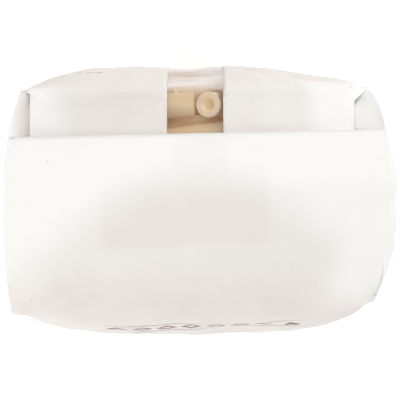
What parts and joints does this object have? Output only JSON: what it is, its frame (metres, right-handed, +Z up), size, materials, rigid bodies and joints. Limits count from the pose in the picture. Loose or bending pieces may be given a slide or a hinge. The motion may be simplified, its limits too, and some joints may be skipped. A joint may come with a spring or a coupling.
{
  "type": "bag of pasta",
  "caption": "Standing white paper bag with gusset sides and a block bottom, its mouth pressed flat and folded over, with a clear strip down the back that shows the short tube pasta inside.",
  "frame": {"origin": "middle of the base, on the surface that the bag stands on", "axes": "+Z up from the base to the folded top, -Y towards the front panel, +Y towards the back panel with the clear strip, +X to the right as seen from the front"},
  "size_m": [0.1088, 0.0742, 0.208],
  "materials": {
    "paper": "white kraft paper, uncoated, with soft creases",
    "film": "clear glossy film",
    "pasta": "dry floury durum wheat"
  },
  "bodies": {
    "root": {"paper_bag": "paper", "window_film": "film", "pasta_heap": "pasta"}
  },
  "joints": []
}
